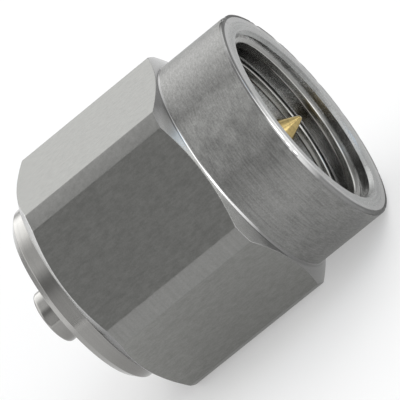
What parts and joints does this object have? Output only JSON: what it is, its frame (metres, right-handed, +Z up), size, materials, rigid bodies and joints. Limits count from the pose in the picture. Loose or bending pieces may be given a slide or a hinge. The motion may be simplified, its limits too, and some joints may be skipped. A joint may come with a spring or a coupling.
{
  "type": "coaxial adapter",
  "caption": "Coaxial adapter: a hexagonal screw-on coupling nut turns freely round a pinned plug, with a shiny collar and a small push-on jack behind it.",
  "frame": {"origin": "on the adapter's axis, at the plug's mating plane, where the outer contact and its insulator end", "axes": "+X along the axis, out of the plug's mouth; +Z up, square to a pair of the nut's flats; the nut lies on its lowest flat"},
  "size_m": [0.0105, 0.0088, 0.008],
  "materials": {
    "nut_steel": "passivated, satin",
    "shell_steel": "passivated, turned bright",
    "ring_metal": "plain spring metal",
    "gold": "gold plated",
    "insulator": "white, smooth",
    "seal": "soft, matte"
  },
  "bodies": {
    "shell": {"plug_body": "shell_steel", "rear_shell": "shell_steel", "gasket": "seal", "front_insulator": "insulator", "rear_insulator": "insulator", "centre_contact": "gold"},
    "ring": {"retaining_ring": "ring_metal"},
    "nut": {"coupling_nut": "nut_steel"}
  },
  "joints": [
    {"name": "nut_float", "type": "slide", "parent": "shell", "child": "ring", "axis": [1, 0, 0], "range_m": [-0.00014, 0.00014]},
    {"name": "nut_spin", "type": "hinge", "parent": "ring", "child": "nut", "pos_m": [0, 0, 0], "axis": [1, 0, 0], "continuous": true}
  ]
}
